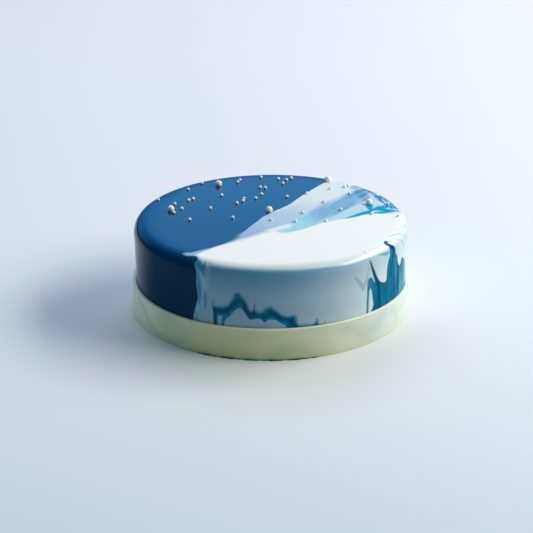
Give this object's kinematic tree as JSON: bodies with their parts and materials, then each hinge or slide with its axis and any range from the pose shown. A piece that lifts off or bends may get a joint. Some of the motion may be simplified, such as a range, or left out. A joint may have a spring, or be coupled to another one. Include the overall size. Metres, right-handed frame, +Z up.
{
  "type": "entremet cake",
  "caption": "Round entremet mousse cake with rounded top edge, marbled blue and white mirror glaze, scattered sugar pearls and a white chocolate band round its foot.",
  "frame": {"origin": "centre of the chocolate band's foot, on the plane the cake stands on", "axes": "+Z up along the cake's axis; the view from -Y shows the blue glaze at the left and the white glaze at the right"},
  "size_m": [0.183, 0.183, 0.0658],
  "materials": {
    "mirror_glaze": "wet mirror-like glaze, deep blue flowing into white with teal marbling",
    "white_chocolate": "satin pale ivory-green chocolate with faint cloudy marbling",
    "sugar_pearl": "pearly white sugar coating"
  },
  "bodies": {
    "root": {"cake": "mirror_glaze", "chocolate_band": "white_chocolate"}
  },
  "joints": []
}
